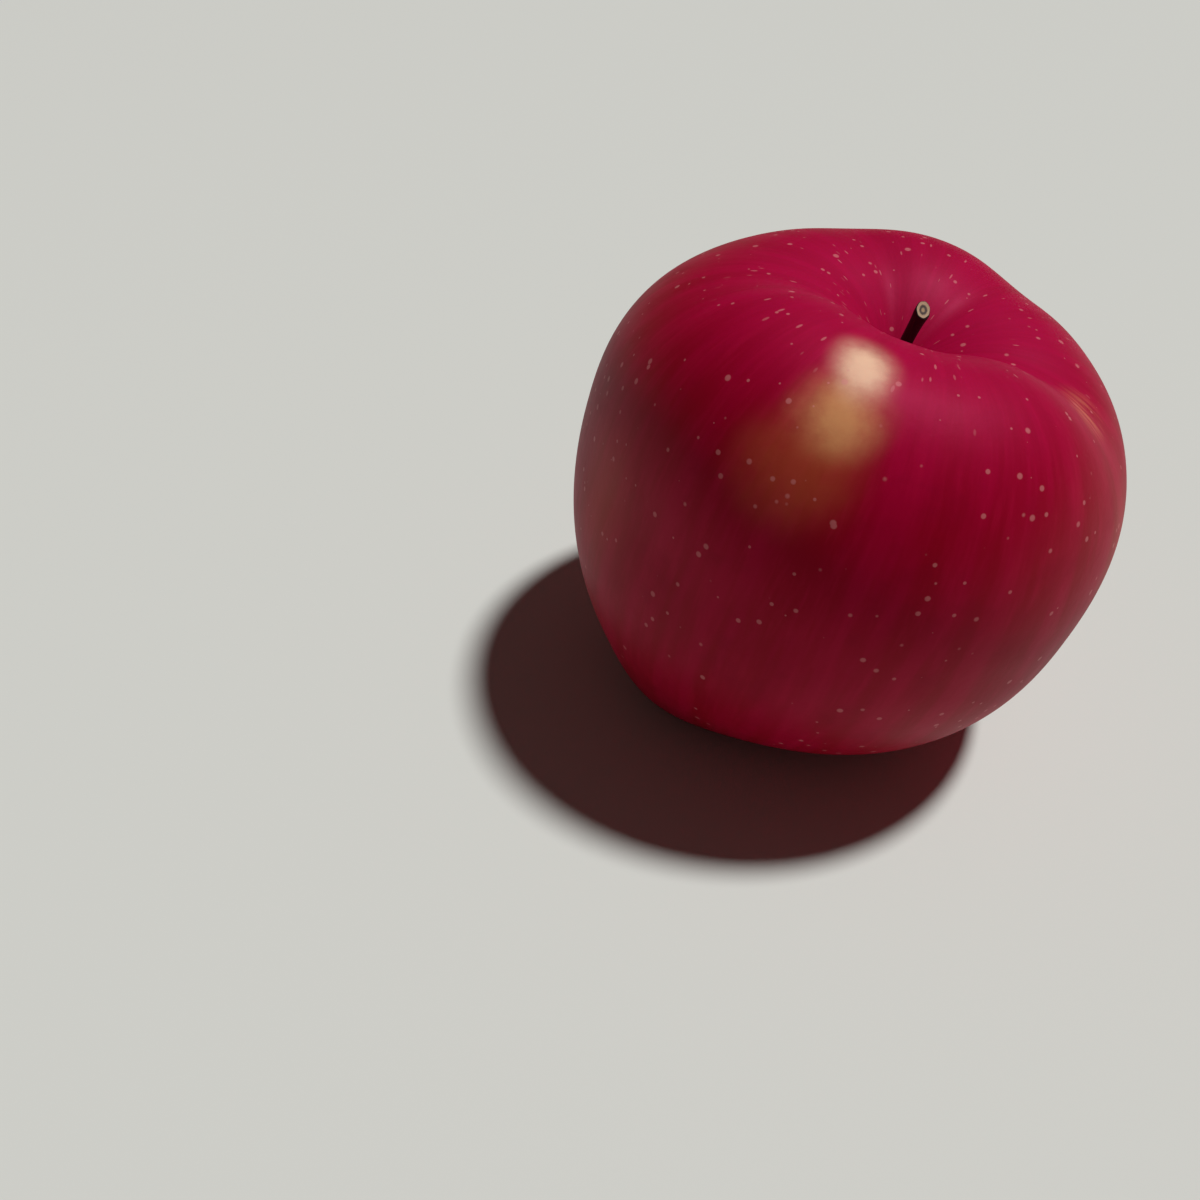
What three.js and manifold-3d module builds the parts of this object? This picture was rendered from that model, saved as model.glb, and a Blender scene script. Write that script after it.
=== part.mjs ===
// An apple with its stalk and dried calyx, resting on the uneven lobes of its base.
// Millimetres, +Z up, the tabletop at z = 0, the front towards -Y.
import * as THREE from 'three';
import { mergeVertices } from 'three/addons/utils/BufferGeometryUtils.js';
import Module from 'manifold-3d';

const DEG = Math.PI / 180;

// Fruit body, in its own upright frame with the core's centre at the origin
const EQUATOR_RADIUS = 39;
const CROWN_HEIGHT = 31.8;
const BASE_DEPTH = 37;
const CROWN_FULLNESS = 2.5;
const BASE_FULLNESS = 2.3;

// Stalk cavity and calyx basin: depth in mm, half-width as an angle from the axis
const CAVITY_DEPTH = 12.5;
const CAVITY_ANGLE = 0.33;
const CAVITY_POWER = 1.6;
const BASIN_DEPTH = 8;
const BASIN_ANGLE = 0.29;

// Five lobes: how far each stands out at the crown, the girth, the heel and the foot
const LOBE_NARROWNESS = 4;
const LOBES = [
  { azimuth: -2, crown: 0, girth: -2.4, heel: -2, foot: 0.6 },
  { azimuth: 70, crown: 1.6, girth: 1, heel: 0, foot: 2.6 },
  { azimuth: 142, crown: -1.4, girth: 1.2, heel: 3, foot: 4.7 },
  { azimuth: 214, crown: 3.6, girth: -2, heel: 2.2, foot: 4.4 },
  { azimuth: 286, crown: 4.2, girth: 1.4, heel: 0.2, foot: 0.6 },
];
// Angle from the crown at which each of those four swells is fullest, and its spread
const ZONES = {
  crown: { at: 38, spread: 26 },
  girth: { at: 88, spread: 30 },
  heel: { at: 140, spread: 26 },
  foot: { at: 152, spread: 14 },
};

// Shallow furrows that run out of the stalk cavity between the lobes; the last one is a low swell
const FURROWS = [
  { azimuth: -32, depth: 1.8, halfWidth: 13 },
  { azimuth: 40, depth: 1.2, halfWidth: 12 },
  { azimuth: 100, depth: 1, halfWidth: 12 },
  { azimuth: 178, depth: 0.8, halfWidth: 14 },
  { azimuth: 250, depth: -0.8, halfWidth: 16 },
];
const FURROW_AT = 30;
const FURROW_SPREAD = 22;

// How the fruit stands: its axis leans to the right and a little towards the front
const LEAN_RIGHT = 12.5;
const LEAN_FRONT = 4.2;
const CENTRE_HEIGHT = 36.2;
const FRUIT_SEGMENTS_AROUND = 60;
const FRUIT_SEGMENTS_DOWN = 46;

// Stalk: a thin woody stem with a swollen, slanting cut end
const STALK_RADIUS = 0.88;
const STALK_ROOT_RADIUS = 1.05;
const STALK_END_RADIUS = 1.05;
const STALK_LENGTH = 13;
const STALK_ROOT_DEPTH = 2.5;
const STALK_BEND = 0.9;
const STALK_END_SLANT = 38;
const SOCKET_GAP = 0.3;
const SEAT_SEGMENTS = 20;

// Calyx: a small button in the basin floor with five dried sepals hanging from its rim
const BUTTON_RADIUS = 3.4;
const BUTTON_SUNK = 1;
const BUTTON_BELOW = 0.9;
const SEPAL_COUNT = 5;
const SEPAL_LENGTH = 4.6;
const SEPAL_FLARE = 0.17;
const CALYX_SEGMENTS_PER_SEPAL = 10;
const CALYX_SEGMENTS_DOWN = 16;

const swell = (angle, zone) => Math.exp(-(((angle - zone.at * DEG) / (zone.spread * DEG)) ** 2));

// Distance from the core's centre to the skin, at an angle from the crown and an azimuth
function skinRadius(fromCrown, azimuth) {
  const upper = Math.cos(fromCrown) > 0;
  const fullness = upper ? CROWN_FULLNESS : BASE_FULLNESS;
  const height = upper ? CROWN_HEIGHT : BASE_DEPTH;
  const across = Math.abs(Math.sin(fromCrown) / EQUATOR_RADIUS) ** fullness;
  const along = Math.abs(Math.cos(fromCrown) / height) ** fullness;
  let radius = (across + along) ** (-1 / fullness);
  for (const lobe of LOBES) {
    const share = Math.exp(LOBE_NARROWNESS * (Math.cos(azimuth - lobe.azimuth * DEG) - 1));
    for (const [name, zone] of Object.entries(ZONES)) {
      radius += share * lobe[name] * swell(fromCrown, zone);
    }
  }
  for (const furrow of FURROWS) {
    const narrow = Math.LN2 / (1 - Math.cos(furrow.halfWidth * DEG));
    const share = Math.exp(narrow * (Math.cos(azimuth - furrow.azimuth * DEG) - 1));
    radius -= furrow.depth * share * swell(fromCrown, { at: FURROW_AT, spread: FURROW_SPREAD });
  }
  radius -= CAVITY_DEPTH * Math.exp(-((fromCrown / CAVITY_ANGLE) ** CAVITY_POWER));
  radius -= BASIN_DEPTH * Math.exp(-(((Math.PI - fromCrown) / BASIN_ANGLE) ** 2));
  return radius;
}

// Pull every vertex of a unit sphere out to the skin
function fruitSkin() {
  const geometry = new THREE.SphereGeometry(1, FRUIT_SEGMENTS_AROUND, FRUIT_SEGMENTS_DOWN);
  geometry.rotateX(Math.PI / 2);
  const position = geometry.attributes.position;
  const point = new THREE.Vector3();
  for (let i = 0; i < position.count; i += 1) {
    point.fromBufferAttribute(position, i);
    const fromCrown = Math.acos(THREE.MathUtils.clamp(point.z, -1, 1));
    const azimuth = fromCrown < 1e-4 || fromCrown > Math.PI - 1e-4 ? 0 : Math.atan2(point.y, point.x);
    point.setLength(skinRadius(fromCrown, azimuth));
    position.setXYZ(i, point.x, point.y, point.z);
  }
  return geometry;
}

// Booleans work on closed meshes whose shared vertices are merged
const wasm = await Module();
wasm.setup();

function toSolid(geometry) {
  const bare = geometry.clone();
  bare.deleteAttribute('normal');
  bare.deleteAttribute('uv');
  const merged = mergeVertices(bare, 1e-4);
  return new wasm.Manifold(new wasm.Mesh({
    numProp: 3,
    vertProperties: new Float32Array(merged.attributes.position.array),
    triVerts: new Uint32Array(merged.index.array),
  }));
}

function toGeometry(solid) {
  const mesh = solid.getMesh();
  const geometry = new THREE.BufferGeometry();
  geometry.setAttribute('position', new THREE.BufferAttribute(new Float32Array(mesh.vertProperties), 3));
  geometry.setIndex(new THREE.BufferAttribute(new Uint32Array(mesh.triVerts), 1));
  geometry.computeVertexNormals();
  return geometry;
}

// A plain round plug along the fruit's axis, used to sink a seat into the flesh
function seatPlug(radius, lowEnd, highEnd) {
  const plug = new THREE.CylinderGeometry(radius, radius, highEnd - lowEnd, SEAT_SEGMENTS);
  plug.rotateX(Math.PI / 2);
  plug.translate(0, 0, (lowEnd + highEnd) / 2);
  return toSolid(plug);
}

const cavityFloor = skinRadius(0, 0);
const basinFloor = -skinRadius(Math.PI, 0);
const stalkFoot = cavityFloor - STALK_ROOT_DEPTH;

// Lean of the whole fruit about its core, then up onto its base
const lean = new THREE.Matrix4()
  .makeRotationX(LEAN_FRONT * DEG)
  .multiply(new THREE.Matrix4().makeRotationY(LEAN_RIGHT * DEG));

const skinGeometry = fruitSkin();
skinGeometry.applyMatrix4(lean);
skinGeometry.computeBoundingBox();
const skinBox = skinGeometry.boundingBox;
const stand = new THREE.Matrix4()
  .makeTranslation(
    -(skinBox.min.x + skinBox.max.x) / 2,
    -(skinBox.min.y + skinBox.max.y) / 2,
    CENTRE_HEIGHT,
  );
const stance = stand.clone().multiply(lean);
skinGeometry.applyMatrix4(stand);

// Seats for the stalk's root and the calyx button
const stalkSeat = seatPlug(
  STALK_ROOT_RADIUS + SOCKET_GAP,
  stalkFoot - SOCKET_GAP,
  cavityFloor + STALK_ROOT_DEPTH,
);
const calyxSeat = seatPlug(
  BUTTON_RADIUS + SOCKET_GAP,
  basinFloor - BUTTON_RADIUS,
  basinFloor + BUTTON_SUNK + SOCKET_GAP,
);
const placeSolid = (solid) => toSolid(toGeometry(solid).applyMatrix4(stance));

// The tabletop presses the lowest skin of the lobes flat
const below = new THREE.BoxGeometry(4 * EQUATOR_RADIUS, 4 * EQUATOR_RADIUS, EQUATOR_RADIUS);
below.translate(0, 0, -EQUATOR_RADIUS / 2);

const fruitSolid = toSolid(skinGeometry)
  .subtract(placeSolid(stalkSeat))
  .subtract(placeSolid(calyxSeat))
  .subtract(toSolid(below));

// Stalk turned about the axis, then bent towards the front, its end cut on a slant
function stalkGeometry() {
  const slant = Math.tan(STALK_END_SLANT * DEG);
  const profile = [
    new THREE.Vector2(0, 0),
    new THREE.Vector2(STALK_ROOT_RADIUS, 0),
    new THREE.Vector2(STALK_ROOT_RADIUS, STALK_ROOT_DEPTH * 0.9),
    new THREE.Vector2(STALK_RADIUS, STALK_ROOT_DEPTH + 1.6),
    new THREE.Vector2(STALK_RADIUS, STALK_LENGTH * 0.5),
    new THREE.Vector2(STALK_RADIUS, STALK_LENGTH * 0.7),
    new THREE.Vector2(STALK_RADIUS * 1.05, STALK_LENGTH - 2.2),
    new THREE.Vector2(STALK_END_RADIUS, STALK_LENGTH - 1),
    new THREE.Vector2(STALK_END_RADIUS, STALK_LENGTH - 0.25),
    new THREE.Vector2(STALK_END_RADIUS * 0.85, STALK_LENGTH),
    new THREE.Vector2(0, STALK_LENGTH),
  ];
  const geometry = new THREE.LatheGeometry(profile, 16);
  geometry.rotateX(Math.PI / 2);
  const position = geometry.attributes.position;
  for (let i = 0; i < position.count; i += 1) {
    const height = position.getZ(i);
    const rise = Math.max(height - STALK_ROOT_DEPTH, 0) / (STALK_LENGTH - STALK_ROOT_DEPTH);
    const cut = rise ** 6;
    position.setZ(i, height + slant * position.getY(i) * cut);
    position.setY(i, position.getY(i) - STALK_BEND * rise ** 2);
  }
  geometry.translate(0, 0, stalkFoot);
  return geometry;
}

// A domed button whose underside is drawn out into five hanging, slightly flaring sepal points
function calyxGeometry() {
  const geometry = new THREE.SphereGeometry(1, SEPAL_COUNT * CALYX_SEGMENTS_PER_SEPAL, CALYX_SEGMENTS_DOWN);
  geometry.rotateX(Math.PI / 2);
  const position = geometry.attributes.position;
  const point = new THREE.Vector3();
  for (let i = 0; i < position.count; i += 1) {
    point.fromBufferAttribute(position, i);
    const across = Math.hypot(point.x, point.y);
    const down = Math.max(-point.z, 0);
    const up = Math.max(point.z, 0);
    const turn = SEPAL_COUNT * Math.atan2(point.y, point.x);
    const sepal = (0.5 - 0.5 * Math.cos(turn)) ** 2 * 2 * across * down;
    const flare = BUTTON_RADIUS * (1 + SEPAL_FLARE * sepal);
    const height = up * BUTTON_SUNK - down * BUTTON_BELOW - sepal * SEPAL_LENGTH;
    position.setXYZ(i, point.x * flare, point.y * flare, basinFloor + height);
  }
  return geometry;
}

function piece(name, geometry, color, roughness) {
  const mesh = new THREE.Mesh(geometry, new THREE.MeshStandardMaterial({ color, roughness, metalness: 0 }));
  mesh.name = name;
  return mesh;
}

const apple = new THREE.Group();
apple.name = 'apple';
apple.add(piece('fruit', toGeometry(fruitSolid), 0x9c1838, 0.4));

// The stalk and the calyx stand in the fruit's own leaning frame
const onAxis = new THREE.Group();
onAxis.name = 'fruit_axis';
onAxis.applyMatrix4(stance);
onAxis.add(piece('stalk', stalkGeometry(), 0x2b1a12, 0.8));
onAxis.add(piece('calyx', calyxGeometry(), 0x4a3a26, 0.9));
apple.add(onAxis);
apple.updateMatrixWorld(true);

export default apple;
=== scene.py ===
"""A red apple with its stalk and dried calyx, resting on a pale table under one soft studio light."""
import math

import bpy
import numpy as np
from mathutils import Matrix, Vector


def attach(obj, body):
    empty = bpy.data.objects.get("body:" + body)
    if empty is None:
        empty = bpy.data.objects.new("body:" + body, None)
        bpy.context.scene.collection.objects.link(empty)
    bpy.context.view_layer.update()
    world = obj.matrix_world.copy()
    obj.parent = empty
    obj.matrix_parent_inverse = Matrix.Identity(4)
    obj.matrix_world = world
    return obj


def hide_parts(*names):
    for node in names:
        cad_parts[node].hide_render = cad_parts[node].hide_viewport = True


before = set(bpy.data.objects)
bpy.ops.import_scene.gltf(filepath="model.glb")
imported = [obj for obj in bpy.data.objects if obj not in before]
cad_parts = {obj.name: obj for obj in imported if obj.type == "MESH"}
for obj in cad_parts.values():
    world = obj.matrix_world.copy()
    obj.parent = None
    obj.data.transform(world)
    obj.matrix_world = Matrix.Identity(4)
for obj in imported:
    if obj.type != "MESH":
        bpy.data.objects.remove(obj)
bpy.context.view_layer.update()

MM = 0.001
DEG = math.pi / 180

# The fruit's own upright frame: sizes in mm, angles in radians from the crown
EQUATOR_RADIUS = 39
CROWN_HEIGHT = 31.8
BASE_DEPTH = 37
CROWN_FULLNESS = 2.5
BASE_FULLNESS = 2.3
CAVITY_DEPTH = 12.5
CAVITY_ANGLE = 0.33
CAVITY_POWER = 1.6
BASIN_DEPTH = 8
BASIN_ANGLE = 0.29
LOBE_NARROWNESS = 4
# azimuth in degrees, then how far the lobe stands out at the crown, girth, heel and foot
LOBES = (
    (-2, 0, -2.4, -2, 0.6),
    (70, 1.6, 1, 0, 2.6),
    (142, -1.4, 1.2, 3, 4.7),
    (214, 3.6, -2, 2.2, 4.4),
    (286, 4.2, 1.4, 0.2, 0.6),
)
# where each of those swells is fullest and how wide it spreads, in degrees from the crown
ZONES = ((38, 26), (88, 30), (140, 26), (152, 14))
# azimuth, depth and half-width of the furrows that run out of the cavity
FURROWS = ((-32, 1.8, 13), (40, 1.2, 12), (100, 1, 12), (178, 0.8, 14), (250, -0.8, 16))
FURROW_AT, FURROW_SPREAD = 30, 22
LEAN_RIGHT, LEAN_FRONT = 12.5, 4.2
CENTRE_HEIGHT = 36.2
LEAN = np.array(Matrix.Rotation(LEAN_FRONT * DEG, 3, "X") @ Matrix.Rotation(LEAN_RIGHT * DEG, 3, "Y"))


def swell(angle, at, spread):
    """A bell of height one at the angle `at`, both in degrees."""
    return np.exp(-(((angle - at * DEG) / (spread * DEG)) ** 2))


def skin_radius(crown, azimuth):
    """Distance of the skin from the core's centre: a rounded superellipse of revolution, plus five
    lobes that each swell at four heights, minus furrows, a pointed stalk cavity and a round basin."""
    s, c = np.abs(np.sin(crown)), np.cos(crown)
    full = np.where(c > 0, CROWN_FULLNESS, BASE_FULLNESS)
    high = np.where(c > 0, CROWN_HEIGHT, BASE_DEPTH)
    radius = ((s / EQUATOR_RADIUS) ** full + (np.abs(c) / high) ** full) ** (-1 / full)
    for lobe in LOBES:
        share = np.exp(LOBE_NARROWNESS * (np.cos(azimuth - lobe[0] * DEG) - 1))
        for out, (at, spread) in zip(lobe[1:], ZONES):
            radius = radius + share * out * swell(crown, at, spread)
    for at, depth, half in FURROWS:
        narrow = math.log(2) / (1 - math.cos(half * DEG))
        share = np.exp(narrow * (np.cos(azimuth - at * DEG) - 1))
        radius = radius - depth * share * swell(crown, FURROW_AT, FURROW_SPREAD)
    radius = radius - CAVITY_DEPTH * np.exp(-((crown / CAVITY_ANGLE) ** CAVITY_POWER))
    return radius - BASIN_DEPTH * np.exp(-(((math.pi - crown) / BASIN_ANGLE) ** 2))


def skin_point(crown, azimuth):
    """Points of the skin in the fruit's own frame, in mm: radius times the direction."""
    radius = skin_radius(crown, azimuth)
    flat = radius * np.sin(crown)
    return np.stack([flat * np.cos(azimuth), flat * np.sin(azimuth), radius * np.cos(crown)], -1)


# The leaning fruit stands with the middle of its outline over the origin
crown_fan, around_fan = np.meshgrid(
    np.linspace(0.001, math.pi - 0.001, 241), np.linspace(0, 2 * math.pi, 361), indexing="ij")
leaning = skin_point(crown_fan, around_fan) @ LEAN.T
low, high = leaning.reshape(-1, 3).min(0), leaning.reshape(-1, 3).max(0)
SHIFT = np.array([-(low[0] + high[0]) / 2, -(low[1] + high[1]) / 2, CENTRE_HEIGHT])


def stand(points):
    """From the fruit's own frame in mm to the table's frame in metres: lean, then shift."""
    return (points @ LEAN.T + SHIFT) * MM


CAVITY_FLOOR = float(skin_radius(np.array(0.0), np.array(0.0)))
BASIN_FLOOR = -float(skin_radius(np.array(math.pi), np.array(0.0)))


def make_piece(name, points, faces, node, material, own=None):
    """A smooth closed mesh that rides on the root body and stands for one CAD node. `own` is a
    point in the fruit's own frame for every vertex, in metres, kept as an attribute for patterns."""
    mesh = bpy.data.meshes.new(name)
    mesh.from_pydata(points.tolist(), [], faces)
    mesh.polygons.foreach_set("use_smooth", np.ones(len(faces), dtype=bool))
    if own is not None:
        layer = mesh.attributes.new("own_place", "FLOAT_VECTOR", "POINT")
        layer.data.foreach_set("vector", np.ascontiguousarray(own, dtype=np.float32).ravel())
    mesh.materials.append(material)
    mesh.update()
    piece = bpy.data.objects.new(name, mesh)
    bpy.context.scene.collection.objects.link(piece)
    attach(piece, "root")
    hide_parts(node)
    return piece


def closed_rings(rings, around, first=0):
    """Faces of a stack of rings with a pole vertex before the first and after the last ring."""
    k = np.arange(around)
    nxt = (k + 1) % around
    start = first + 1 + np.arange(rings - 1)[:, None] * around
    quads = np.stack([start + k, start + around + k, start + around + nxt, start + nxt], -1)
    top = np.stack([np.full(around, first), first + 1 + k, first + 1 + nxt], -1)
    last = first + 1 + (rings - 1) * around
    base = np.stack([last + k, np.full(around, last + around), last + nxt], -1)
    return quads.reshape(-1, 4).tolist() + top.tolist() + base.tolist()


def linear(hex_colour):
    """An sRGB hex value as linear red, green, blue and full alpha."""
    parts = [int(hex_colour[i:i + 2], 16) / 255 for i in (1, 3, 5)]
    return [p / 12.92 if p <= 0.04045 else ((p + 0.055) / 1.055) ** 2.4 for p in parts] + [1]


def add(tree, kind, settings=None, **links):
    """One node: settings by name, and links or values by socket name with _ for a space."""
    node = tree.nodes.new(kind)
    for key, value in (settings or {}).items():
        setattr(node, key, value)
    for key, value in links.items():
        if key[0] == "i" and key[1:].isdigit():
            socket = node.inputs[int(key[1:])]
        else:
            wanted = key.replace("_", " ").lower()
            socket = next(s for s in node.inputs if s.name.lower() == wanted and s.enabled)
        if isinstance(value, bpy.types.NodeSocket):
            tree.links.new(value, socket)
        else:
            socket.default_value = value
    return node


def math_node(tree, operation, a, b=0.0, c=0.0):
    return add(tree, "ShaderNodeMath", {"operation": operation}, i0=a, i1=b, i2=c).outputs[0]


def mix_colour(tree, share, a, b):
    """Colour a where share is 0 and colour b where it is 1."""
    node = add(tree, "ShaderNodeMix", {"data_type": "RGBA"})
    for socket, value in ((node.inputs[0], share), (node.inputs[6], a), (node.inputs[7], b)):
        if isinstance(value, bpy.types.NodeSocket):
            tree.links.new(value, socket)
        else:
            socket.default_value = value
    return node.outputs[2]


def ramp(tree, value, low_at, high_at):
    """0 below low_at, 1 above high_at, smooth between; the two may be given either way round."""
    node = add(tree, "ShaderNodeMapRange", {"interpolation_type": "SMOOTHSTEP"},
               Value=value, From_Min=min(low_at, high_at), From_Max=max(low_at, high_at))
    if low_at > high_at:
        node.inputs["To Min"].default_value = 1
        node.inputs["To Max"].default_value = 0
    return node.outputs[0]


def new_material(name):
    material = bpy.data.materials.new(name)
    material.use_nodes = True
    tree = material.node_tree
    return material, tree, tree.nodes["Principled BSDF"]


def spot(tree, place, centre, radii):
    """1 at a place in the fruit's own frame, falling to 0 at an ellipsoid round it (mm)."""
    node = add(tree, "ShaderNodeMapping", {"vector_type": "TEXTURE"}, Vector=place,
               Location=[v * MM for v in centre], Scale=[v * MM for v in radii])
    length = add(tree, "ShaderNodeVectorMath", {"operation": "LENGTH"}, i0=node.outputs[0])
    return ramp(tree, length.outputs["Value"], 1.0, 0.0)


def skin_material():
    """Waxed apple skin: crimson cells under a thin clear cuticle with a soft bloom. The eye sees
    deep red with fainter streaks from crown to base, a cream patch, and pale breathing dots."""
    material, tree, skin = new_material("waxed red apple skin")
    place = add(tree, "ShaderNodeAttribute", {"attribute_name": "own_place"}).outputs["Vector"]
    split = add(tree, "ShaderNodeSeparateXYZ", Vector=place)
    x, y, z = split.outputs
    length = add(tree, "ShaderNodeVectorMath", {"operation": "LENGTH"}, i0=place).outputs["Value"]
    crown = math_node(tree, "ARCCOSINE", math_node(tree, "DIVIDE", z, length))
    unit = add(tree, "ShaderNodeVectorMath", {"operation": "NORMALIZE"},
               i0=add(tree, "ShaderNodeCombineXYZ", X=x, Y=y).outputs[0]).outputs[0]
    around = add(tree, "ShaderNodeSeparateXYZ", Vector=unit)
    # direction round the axis and a slow step down it, so that noise draws out into streaks
    streak_place = add(tree, "ShaderNodeCombineXYZ", X=around.outputs[0], Y=around.outputs[1],
                       Z=math_node(tree, "MULTIPLY", crown, 0.14)).outputs[0]
    fine_streak = add(tree, "ShaderNodeTexNoise", None, Vector=streak_place, Scale=34.0,
                      Detail=4.0, Roughness=0.6).outputs["Fac"]
    broad_streak = add(tree, "ShaderNodeTexNoise", None, Vector=streak_place, Scale=9.0,
                       Detail=3.0, Roughness=0.55).outputs["Fac"]
    mottle = add(tree, "ShaderNodeTexNoise", None, Vector=place, Scale=190.0, Detail=5.0,
                 Roughness=0.62).outputs["Fac"]
    cloud = add(tree, "ShaderNodeTexNoise", None, Vector=place, Scale=45.0, Detail=2.0,
                Roughness=0.5).outputs["Fac"]

    broad = math_node(tree, "MULTIPLY", ramp(tree, broad_streak, 0.36, 0.68), 0.8)
    colour = mix_colour(tree, broad, linear("#93001A"), linear("#A80030"))
    faint = math_node(tree, "MULTIPLY", ramp(tree, fine_streak, 0.45, 0.75), 0.35)
    colour = mix_colour(tree, faint, colour, linear("#B50E38"))
    patchy = math_node(tree, "MULTIPLY", ramp(tree, mottle, 0.5, 0.72), 0.45)
    colour = mix_colour(tree, patchy, colour, linear("#8E0020"))
    # Painted sheen: the crown is a little pinker than the sides, standing in for the soft highlight of the light on
    # the wax
    painted_sheen_share = math_node(tree, "MULTIPLY", ramp(tree, crown, 1.15, 0.45), 0.5)
    colour = mix_colour(tree, painted_sheen_share, colour, linear("#B0104A"))

    # Cream patch in the shallow valley between the two front lobes, where a leaf shaded the skin
    patch = spot(tree, place, (-12.0, -20.5, 31.5), (6.0, 8.0, 7.0))
    slant = spot(tree, place, (-14.5, -25.5, 28.0), (9.0, 8.5, 8.5))
    tail = spot(tree, place, (-18.5, -29.0, 22.0), (13.0, 11.0, 13.0))
    ragged = math_node(tree, "MULTIPLY_ADD", math_node(tree, "SUBTRACT", mottle, 0.5), 1.2,
                       math_node(tree, "MULTIPLY", math_node(tree, "SUBTRACT", cloud, 0.5), 1.6))
    ragged = math_node(tree, "ADD", ragged, 1.0)
    tail_share = math_node(tree, "MULTIPLY", ramp(tree, math_node(tree, "MULTIPLY", tail, ragged), 0.0, 1.1), 0.55)
    slant_share = math_node(tree, "MULTIPLY", ramp(tree, math_node(tree, "MULTIPLY", slant, ragged), 0.0, 1.15), 0.85)
    patch_share = ramp(tree, math_node(tree, "MULTIPLY", patch, ragged), 0.0, 1.05)
    colour = mix_colour(tree, tail_share, colour, linear("#B4562E"))
    colour = mix_colour(tree, slant_share, colour, linear("#DDA068"))
    colour = mix_colour(tree, patch_share, colour, linear("#F2C9A8"))

    # Painted reflection: paler, orange patches low on both flanks stand in for the pale table reflected there; then a
    # painted highlight as a thin pale line in the right-hand furrow
    # painted reflection of the pale table on the left and right flanks
    left_flank_reflection = spot(tree, place, (-36.0, -11.0, -2.0), (9.0, 11.0, 16.0))
    right_flank_reflection = spot(tree, place, (30.0, -22.0, 10.0), (9.0, 8.0, 18.0))
    painted_flank_reflection = math_node(tree, "MULTIPLY", math_node(tree, "MAXIMUM", left_flank_reflection, right_flank_reflection), 0.3)
    colour = mix_colour(tree, painted_flank_reflection, colour, linear("#C4604A"))
    # Painted highlight: a thin pale line where the light catches the ridge by the right-hand furrow
    furrow_highlight = spot(tree, place, (20.5, -14.0, 27.3), (5.5, 6.0, 4.0))
    furrow_highlight = math_node(tree, "MULTIPLY", math_node(tree, "MULTIPLY", furrow_highlight, ramp(tree, fine_streak, 0.4, 0.6)), 0.5)
    colour = mix_colour(tree, furrow_highlight, colour, linear("#DD8A66"))

    # Breathing dots of 0.4 to 0.8 mm about 6 mm apart, drawn out towards the stalk near the cavity
    dots = add(tree, "ShaderNodeTexVoronoi", {"feature": "F1"}, Vector=place, Scale=430.0,
               Randomness=1.0)
    size = add(tree, "ShaderNodeTexWhiteNoise", None, Vector=dots.outputs["Color"]).outputs["Value"]
    edge = math_node(tree, "MULTIPLY_ADD", size, 0.16, 0.03)
    dot = ramp(tree, math_node(tree, "DIVIDE", dots.outputs["Distance"], edge), 1.2, 0.7)
    dot = math_node(tree, "MULTIPLY", dot, 0.42)
    dash_place = add(tree, "ShaderNodeMapping", None, Vector=add(
        tree, "ShaderNodeCombineXYZ", X=around.outputs[0], Y=around.outputs[1], Z=crown).outputs[0],
        Scale=(20.0, 20.0, 13.0)).outputs[0]
    dashes = add(tree, "ShaderNodeTexVoronoi", {"feature": "F1"}, Vector=dash_place, Scale=1.0)
    chance = add(tree, "ShaderNodeTexWhiteNoise", None, Vector=dashes.outputs["Color"]).outputs["Value"]
    dash = math_node(tree, "MULTIPLY", ramp(tree, dashes.outputs["Distance"], 0.2, 0.12),
                     math_node(tree, "MULTIPLY", ramp(tree, chance, 0.7, 0.8), ramp(tree, crown, 0.85, 0.6)))
    dot = math_node(tree, "MAXIMUM", dot, math_node(tree, "MULTIPLY", dash, 0.4))
    colour = mix_colour(tree, dot, colour, linear("#DE8F90"))
    tree.links.new(colour, skin.inputs["Base Color"])

    # The wax reflects a reddened light: at normal incidence little of it stays white
    skin.inputs["IOR"].default_value = 1.3
    skin.inputs["Specular Tint"].default_value = (1.0, 0.1, 0.36, 1.0)
    skin.inputs["Subsurface Weight"].default_value = 0.1
    skin.inputs["Subsurface Radius"].default_value = (0.9, 0.2, 0.2)
    skin.inputs["Subsurface Scale"].default_value = 0.002
    rough = math_node(tree, "MULTIPLY_ADD", mottle, 0.12, 0.46)
    tree.links.new(rough, skin.inputs["Roughness"])
    grain = add(tree, "ShaderNodeTexNoise", None, Vector=place, Scale=900.0, Detail=3.0,
                Roughness=0.6).outputs["Fac"]
    height = math_node(tree, "MULTIPLY_ADD", dot, 0.6, grain)
    bump = add(tree, "ShaderNodeBump", None, Strength=0.12, Distance=0.0002, Height=height)
    tree.links.new(bump.outputs[0], skin.inputs["Normal"])
    return material


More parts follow.
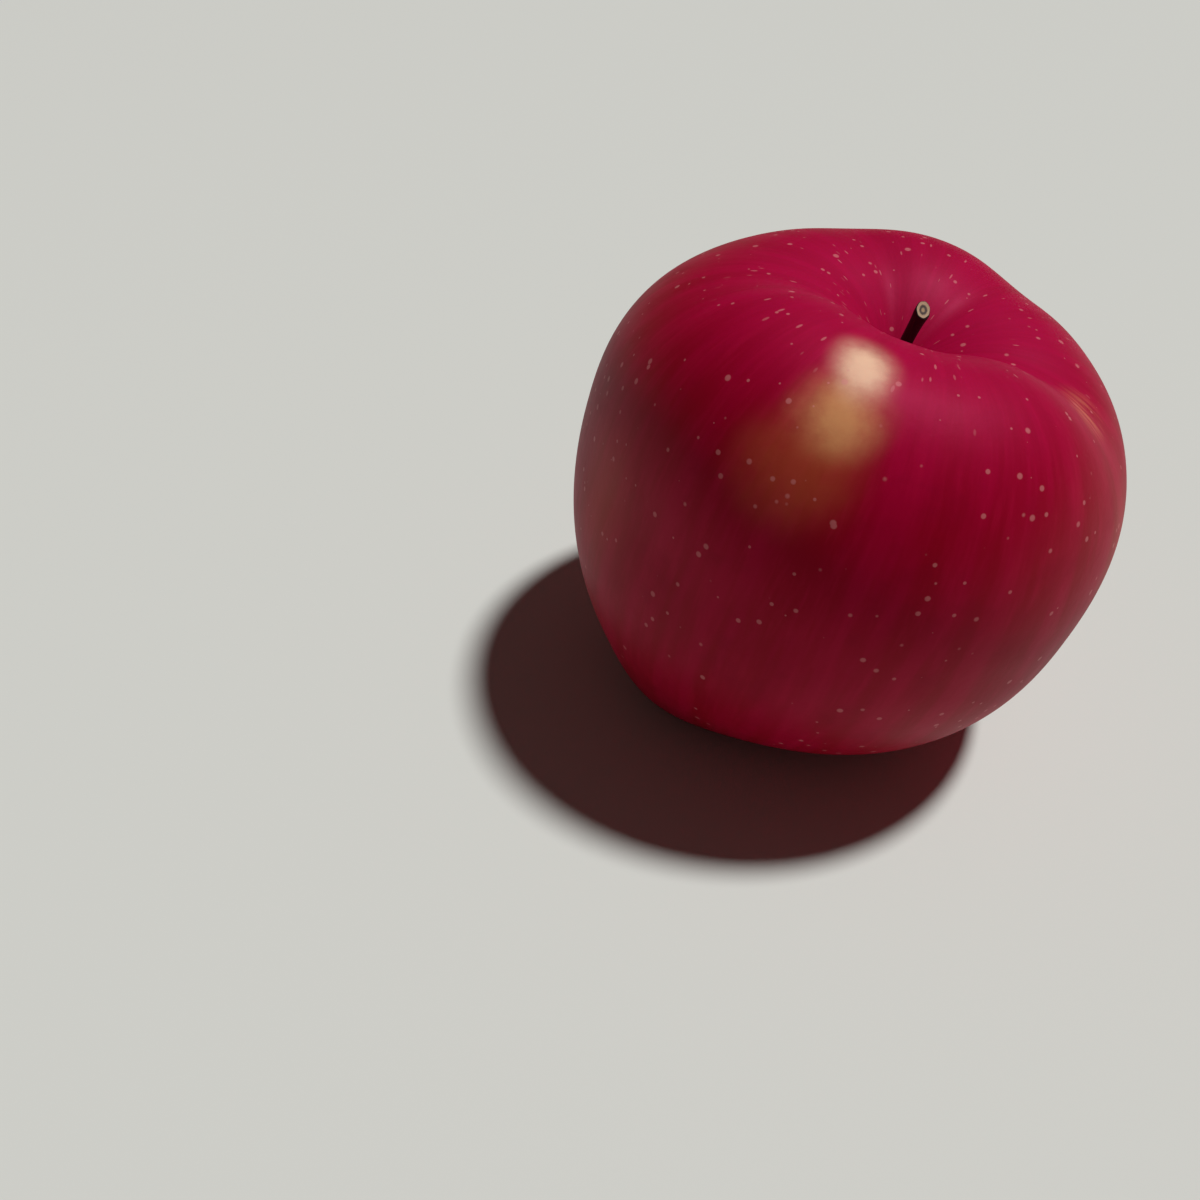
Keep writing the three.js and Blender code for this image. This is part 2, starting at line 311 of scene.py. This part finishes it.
def stalk_material():
    """Dry stalk bark, almost black and slightly shiny; the cut end shows a pale ring and pith."""
    material, tree, bark = new_material("dry apple stalk")
    place = add(tree, "ShaderNodeAttribute", {"attribute_name": "own_place"}).outputs["Vector"]
    split = add(tree, "ShaderNodeSeparateXYZ", Vector=place)
    grain = add(tree, "ShaderNodeTexNoise", None,
                Vector=add(tree, "ShaderNodeMapping", None, Vector=place, Scale=(1, 1, 0.2)).outputs[0],
                Scale=2600.0, Detail=4.0, Roughness=0.6).outputs["Fac"]
    colour = mix_colour(tree, ramp(tree, grain, 0.35, 0.7), linear("#0D0809"), linear("#241613"))
    flat = add(tree, "ShaderNodeCombineXYZ", X=split.outputs[0], Y=split.outputs[1]).outputs[0]
    from_axis = add(tree, "ShaderNodeVectorMath", {"operation": "LENGTH"}, i0=flat).outputs["Value"]
    on_end = ramp(tree, split.outputs[2], 1.0, 1.00001)
    rim = ramp(tree, math_node(tree, "ADD", from_axis, math_node(tree, "MULTIPLY", grain, 0.0002)),
               0.00055, 0.00075)
    pith = ramp(tree, math_node(tree, "ADD", from_axis, math_node(tree, "MULTIPLY", grain, 0.0002)),
                0.00042, 0.00025)
    end = mix_colour(tree, rim, linear("#3A2216"), linear("#B79A78"))
    end = mix_colour(tree, pith, end, linear("#A98A62"))
    colour = mix_colour(tree, on_end, colour, end)
    tree.links.new(colour, bark.inputs["Base Color"])
    bark.inputs["Roughness"].default_value = 0.62
    bump = add(tree, "ShaderNodeBump", None, Strength=0.5, Distance=0.0001, Height=grain)
    tree.links.new(bump.outputs[0], bark.inputs["Normal"])
    return material


def calyx_material():
    """Dried sepals, papery and matt: grey-brown, mottled darker and paler by a fine grain."""
    material, tree, paper = new_material("dried sepals")
    place = add(tree, "ShaderNodeAttribute", {"attribute_name": "own_place"}).outputs["Vector"]
    grain = add(tree, "ShaderNodeTexNoise", None, Vector=place, Scale=900.0, Detail=5.0,
                Roughness=0.65).outputs["Fac"]
    colour = mix_colour(tree, ramp(tree, grain, 0.35, 0.68), linear("#3A2C1C"), linear("#7A6748"))
    tree.links.new(colour, paper.inputs["Base Color"])
    paper.inputs["Roughness"].default_value = 0.85
    bump = add(tree, "ShaderNodeBump", None, Strength=0.6, Distance=0.0002, Height=grain)
    tree.links.new(bump.outputs[0], paper.inputs["Normal"])
    return material


def build_fruit():
    """Rings of skin points from the crown pole to the base pole, leaned and set down; what would
    reach below the table is pressed flat on it."""
    rings, around = 220, 320
    crown = np.linspace(0, math.pi, rings + 2)[1:-1]
    azimuth = np.arange(around) * 2 * math.pi / around
    grid = skin_point(*np.meshgrid(crown, azimuth, indexing="ij")).reshape(-1, 3)
    own = np.concatenate([[[0, 0, CAVITY_FLOOR]], grid, [[0, 0, BASIN_FLOOR]]])
    points = stand(own)
    points[:, 2] = np.maximum(points[:, 2], 0)
    return make_piece("fruit_skin", points, closed_rings(rings, around), "fruit",
                      skin_material(), own * MM)


STALK_LENGTH, STALK_ROOT_DEPTH, STALK_BEND, STALK_END_SLANT = 13.0, 2.5, 0.9, 38
# height up the stalk and radius, in mm
STALK_PROFILE = (
    (0, 1.05), (2.2, 1.05), (3.1, 0.98), (4.1, 0.9), (6.5, 0.87), (9.1, 0.88), (10.6, 0.92),
    (11.7, 1.0), (12.1, 1.05), (12.7, 1.05), (12.9, 1.0), (13, 0.93),
)


def build_stalk():
    """A profile turned about the axis, finely ribbed, then bent towards the front by the square of
    its height; its end is cut on a slant, and the cut is a disc of rings that sinks a little."""
    profile = np.array(STALK_PROFILE)
    heights = np.concatenate([np.linspace(0, 11.5, 40), np.linspace(11.6, STALK_LENGTH, 14)])
    radii = np.interp(heights, profile[:, 0], profile[:, 1])
    cut = np.linspace(0.93, 0.12, 8)
    heights = np.concatenate([heights, np.full(8, STALK_LENGTH) - 0.06 * (1 - cut) ** 0.5])
    radii = np.concatenate([radii, radii[-1] * cut])
    around = 40
    turn = np.arange(around) * 2 * math.pi / around
    tall, angle = np.meshgrid(heights, turn, indexing="ij")
    ribs = 1 - 0.035 * (0.5 + 0.5 * np.cos(7 * angle + 0.5 * tall)) * (tall > 3)
    wide = radii[:, None] * ribs
    ring = np.stack([wide * np.cos(angle), wide * np.sin(angle), tall], -1).reshape(-1, 3)
    own = np.concatenate([[[0, 0, 0]], ring, [[0, 0, heights[-1]]]])
    rise = np.maximum(own[:, 2] - STALK_ROOT_DEPTH, 0) / (STALK_LENGTH - STALK_ROOT_DEPTH)
    bent = own.copy()
    bent[:, 2] += math.tan(STALK_END_SLANT * DEG) * own[:, 1] * rise ** 6
    bent[:, 1] -= STALK_BEND * rise ** 2
    bent[:, 2] += CAVITY_FLOOR - STALK_ROOT_DEPTH
    own[:, 2] = np.where(np.arange(len(own)) > 54 * around, 2000, own[:, 2])
    faces = [f[::-1] for f in closed_rings(len(heights), around)]
    return make_piece("stalk_bark", stand(bent), faces, "stalk", stalk_material(), own * MM)


SEPAL_COUNT, SEPAL_LENGTH, SEPAL_FLARE = 5, 4.6, 0.17
BUTTON_RADIUS, BUTTON_SUNK, BUTTON_BELOW = 3.4, 1.0, 0.9


def build_calyx():
    """A ball turned into a domed button whose underside is drawn down by the fourth power of a
    five-fold wave round the axis, so that five creased sepal points hang from it."""
    rings, around = 90, 300
    tilt = np.linspace(0, math.pi, rings + 2)[1:-1]
    turn = np.arange(around) * 2 * math.pi / around
    angle_down, angle = np.meshgrid(tilt, turn, indexing="ij")
    across, height = np.sin(angle_down), np.cos(angle_down)
    down, up = np.maximum(-height, 0), np.maximum(height, 0)
    sepal = (0.5 - 0.5 * np.cos(SEPAL_COUNT * angle)) ** 2 * 2 * across * down
    crease = 1 - 0.035 * (0.5 + 0.5 * np.cos(35 * angle + 3 * height)) * np.minimum(down * 4, 1)
    wide = BUTTON_RADIUS * across * (1 + SEPAL_FLARE * sepal) * crease
    high = BASIN_FLOOR + up * BUTTON_SUNK - down * BUTTON_BELOW - sepal * SEPAL_LENGTH * 0.97
    ring = np.stack([wide * np.cos(angle), wide * np.sin(angle), high], -1).reshape(-1, 3)
    own = np.concatenate([
        [[0, 0, BASIN_FLOOR + BUTTON_SUNK]], ring, [[0, 0, BASIN_FLOOR - BUTTON_BELOW]]])
    return make_piece("calyx_sepals", stand(own), closed_rings(rings, around), "calyx",
                      calyx_material(), own * MM)


# Camera: about 140 mm above the table, looking down at about 41 degrees. A 36 mm lens on a
# 36 mm sensor gives the photo's rather near, slightly widening view.
CAMERA_PITCH = 40.7
CAMERA_PLACE = (-35.7, -146.3, 138.5)
lens = bpy.data.cameras.new("photo_camera")
lens.lens = 36
lens.sensor_width = 36
lens.clip_start = 0.005
camera = bpy.data.objects.new("photo_camera", lens)
bpy.context.scene.collection.objects.link(camera)
camera.location = [(v + s) * MM for v, s in zip(CAMERA_PLACE, (SHIFT[0], SHIFT[1], 0))]
camera.rotation_euler = ((90 - CAMERA_PITCH) * DEG, 0, 0)
bpy.context.scene.camera = camera


def build_table():
    """A wide plain sheet under the apple, painted pale grey with a breath of green."""
    mesh = bpy.data.meshes.new("table")
    half = 1.5
    mesh.from_pydata([(-half, -half, 0), (half, -half, 0), (half, half, 0), (-half, half, 0)], [], [(0, 1, 2, 3)])
    material, tree, paint = new_material("pale matt table paint")
    paint.inputs["Base Color"].default_value = linear("#D6D9D3")
    paint.inputs["Roughness"].default_value = 0.9
    mesh.materials.append(material)
    table = bpy.data.objects.new("table", mesh)
    bpy.context.scene.collection.objects.link(table)


# One soft light, high on the right and a little behind; its disc looks about 6.5 degrees wide
LIGHT_AZIMUTH, LIGHT_HEIGHT, LIGHT_WIDTH, LIGHT_STRENGTH = 12.3, 67.1, 6.5, 2.9
sun = bpy.data.lights.new("studio_light", "SUN")
sun.angle = LIGHT_WIDTH * DEG
sun.energy = LIGHT_STRENGTH
light = bpy.data.objects.new("studio_light", sun)
bpy.context.scene.collection.objects.link(light)
light_from = Vector((
    math.cos(LIGHT_AZIMUTH * DEG) * math.cos(LIGHT_HEIGHT * DEG),
    math.sin(LIGHT_AZIMUTH * DEG) * math.cos(LIGHT_HEIGHT * DEG),
    math.sin(LIGHT_HEIGHT * DEG),
))
light.rotation_euler = light_from.to_track_quat("Z", "Y").to_euler()
bpy.context.scene.view_settings.view_transform = "Standard"
world = bpy.data.worlds.new("room")
bpy.context.scene.world = world
world.use_nodes = True
world.node_tree.nodes["Background"].inputs["Color"].default_value = linear("#FFC2BE")
world.node_tree.nodes["Background"].inputs["Strength"].default_value = 0.055

build_fruit()
build_stalk()
build_calyx()
build_table()
